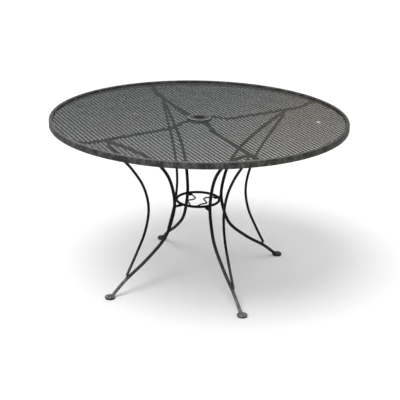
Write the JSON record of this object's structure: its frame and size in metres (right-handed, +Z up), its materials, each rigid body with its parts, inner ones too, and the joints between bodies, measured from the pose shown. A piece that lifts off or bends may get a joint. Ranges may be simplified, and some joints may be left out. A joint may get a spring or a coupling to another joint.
{
  "type": "umbrella table",
  "caption": "Round patio table with an expanded-mesh steel top, a channel rim, a central umbrella collar and curved rod legs tied by a ring brace.",
  "frame": {"origin": "on the ground, below the middle of the top", "axes": "+Z up through the umbrella collar; -Y towards the front pair of legs, +X to the right"},
  "size_m": [1.219, 1.219, 0.711],
  "materials": {
    "rim_paint": "weathered charcoal paint, low sheen",
    "mesh_paint": "matt charcoal paint with dust",
    "frame_paint": "satin black paint",
    "glide_plastic": "matt black moulded plastic"
  },
  "bodies": {
    "root": {"rim_band": "rim_paint", "mesh_right": "mesh_paint", "mesh_back": "mesh_paint", "mesh_left": "mesh_paint", "mesh_front": "mesh_paint", "umbrella_collar": "frame_paint", "hub_ring": "frame_paint", "ring_brace": "frame_paint", "left_grip_wire": "frame_paint", "right_grip_wire": "frame_paint", "back_right_foot_cup": "frame_paint", "back_right_arm": "frame_paint", "back_right_main_rod": "frame_paint", "back_right_short_rod": "frame_paint", "back_right_ring_lug": "frame_paint", "back_right_glide": "glide_plastic", "back_left_foot_cup": "frame_paint", "back_left_arm": "frame_paint", "back_left_main_rod": "frame_paint", "back_left_short_rod": "frame_paint", "back_left_ring_lug": "frame_paint", "back_left_glide": "glide_plastic", "front_left_foot_cup": "frame_paint", "front_left_arm": "frame_paint", "front_left_main_rod": "frame_paint", "front_left_short_rod": "frame_paint", "front_left_ring_lug": "frame_paint", "front_left_glide": "glide_plastic", "front_right_foot_cup": "frame_paint", "front_right_arm": "frame_paint", "front_right_main_rod": "frame_paint", "front_right_short_rod": "frame_paint", "front_right_ring_lug": "frame_paint", "front_right_glide": "glide_plastic"}
  },
  "joints": []
}
